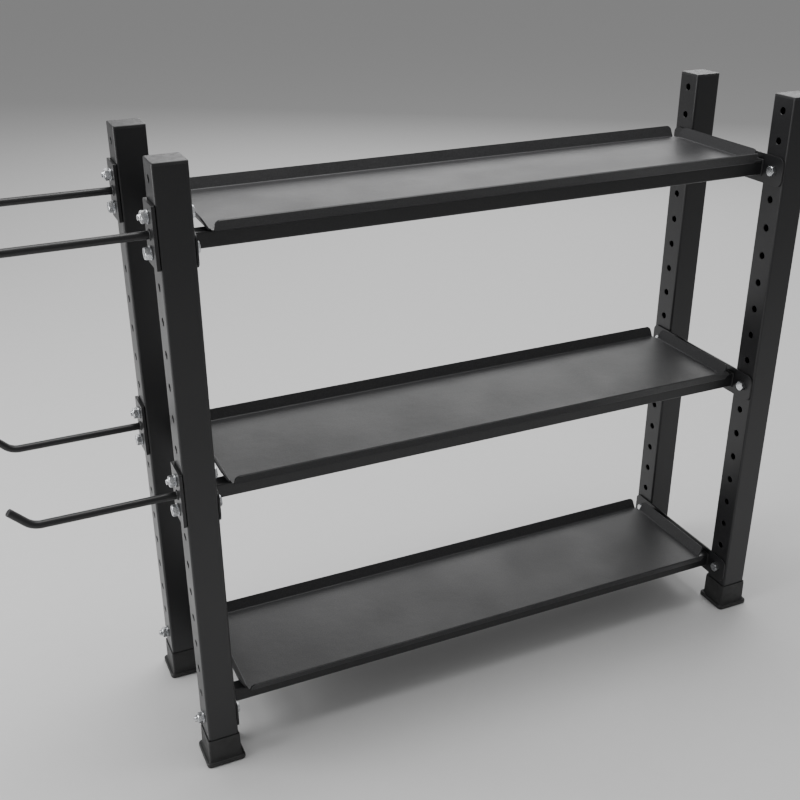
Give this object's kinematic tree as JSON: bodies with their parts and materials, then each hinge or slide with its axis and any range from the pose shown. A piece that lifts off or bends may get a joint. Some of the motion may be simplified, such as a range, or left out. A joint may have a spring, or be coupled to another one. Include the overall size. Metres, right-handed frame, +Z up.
{
  "type": "storage rack",
  "caption": "Bolted black steel storage rack with perforated square uprights, lipped lift-out trays on welded frames, rubber boots, and hook rods on its left end.",
  "frame": {"origin": "on the floor, under the middle of the whole rack, hooks and bolt ends included", "axes": "+X along the rack from the hook end to the plain end, +Y from front to back, +Z up"},
  "size_m": [1.367, 0.316, 1.01],
  "materials": {
    "frame_coat": "satin black powder coat with a fine texture",
    "tray_coat": "satin black powder coat with a fine texture",
    "cap_plastic": "black moulded plastic",
    "boot_rubber": "black moulded rubber",
    "zinc": "bright zinc plating"
  },
  "bodies": {
    "rack": {"bolt_bottom_back_left": "zinc", "bolt_bottom_back_right": "zinc", "bolt_bottom_front_left": "zinc", "bolt_bottom_front_right": "zinc", "bolt_hook_lower_back": "zinc", "bolt_hook_lower_front": "zinc", "bolt_hook_upper_back": "zinc", "bolt_hook_upper_front": "zinc", "bolt_middle_back_left": "zinc", "bolt_middle_back_right": "zinc", "bolt_middle_front_left": "zinc", "bolt_middle_front_right": "zinc", "bolt_top_back_left": "zinc", "bolt_top_back_right": "zinc", "bolt_top_front_left": "zinc", "bolt_top_front_right": "zinc", "boot_back_left": "boot_rubber", "boot_back_right": "boot_rubber", "boot_front_left": "boot_rubber", "boot_front_right": "boot_rubber", "cap_back_left": "cap_plastic", "cap_back_right": "cap_plastic", "cap_front_left": "cap_plastic", "cap_front_right": "cap_plastic", "hook_lower_back": "frame_coat", "hook_lower_front": "frame_coat", "hook_upper_back": "frame_coat", "hook_upper_front": "frame_coat", "nut_bottom_back_left": "zinc", "nut_bottom_back_right": "zinc", "nut_bottom_front_left": "zinc", "nut_bottom_front_right": "zinc", "nut_hook_lower_back": "zinc", "nut_hook_lower_front": "zinc", "nut_hook_upper_back": "zinc", "nut_hook_upper_front": "zinc", "nut_middle_back_left": "zinc", "nut_middle_back_right": "zinc", "nut_middle_front_left": "zinc", "nut_middle_front_right": "zinc", "nut_top_back_left": "zinc", "nut_top_back_right": "zinc", "nut_top_front_left": "zinc", "nut_top_front_right": "zinc", "shelf_frame_bottom": "frame_coat", "shelf_frame_middle": "frame_coat", "shelf_frame_top": "frame_coat", "upright_back_left": "frame_coat", "upright_back_right": "frame_coat", "upright_front_left": "frame_coat", "upright_front_right": "frame_coat"},
    "tray_top_body": {"tray_top": "tray_coat"},
    "tray_middle_body": {"tray_middle": "tray_coat"},
    "tray_bottom_body": {"tray_bottom": "tray_coat"}
  },
  "joints": [
    {"name": "tray_top_lift", "type": "slide", "parent": "rack", "child": "tray_top_body", "axis": [0, 0, 1], "range_m": [0, 0.12]},
    {"name": "tray_middle_lift", "type": "slide", "parent": "rack", "child": "tray_middle_body", "axis": [0, 0, 1], "range_m": [0, 0.12]},
    {"name": "tray_bottom_lift", "type": "slide", "parent": "rack", "child": "tray_bottom_body", "axis": [0, 0, 1], "range_m": [0, 0.12]}
  ]
}
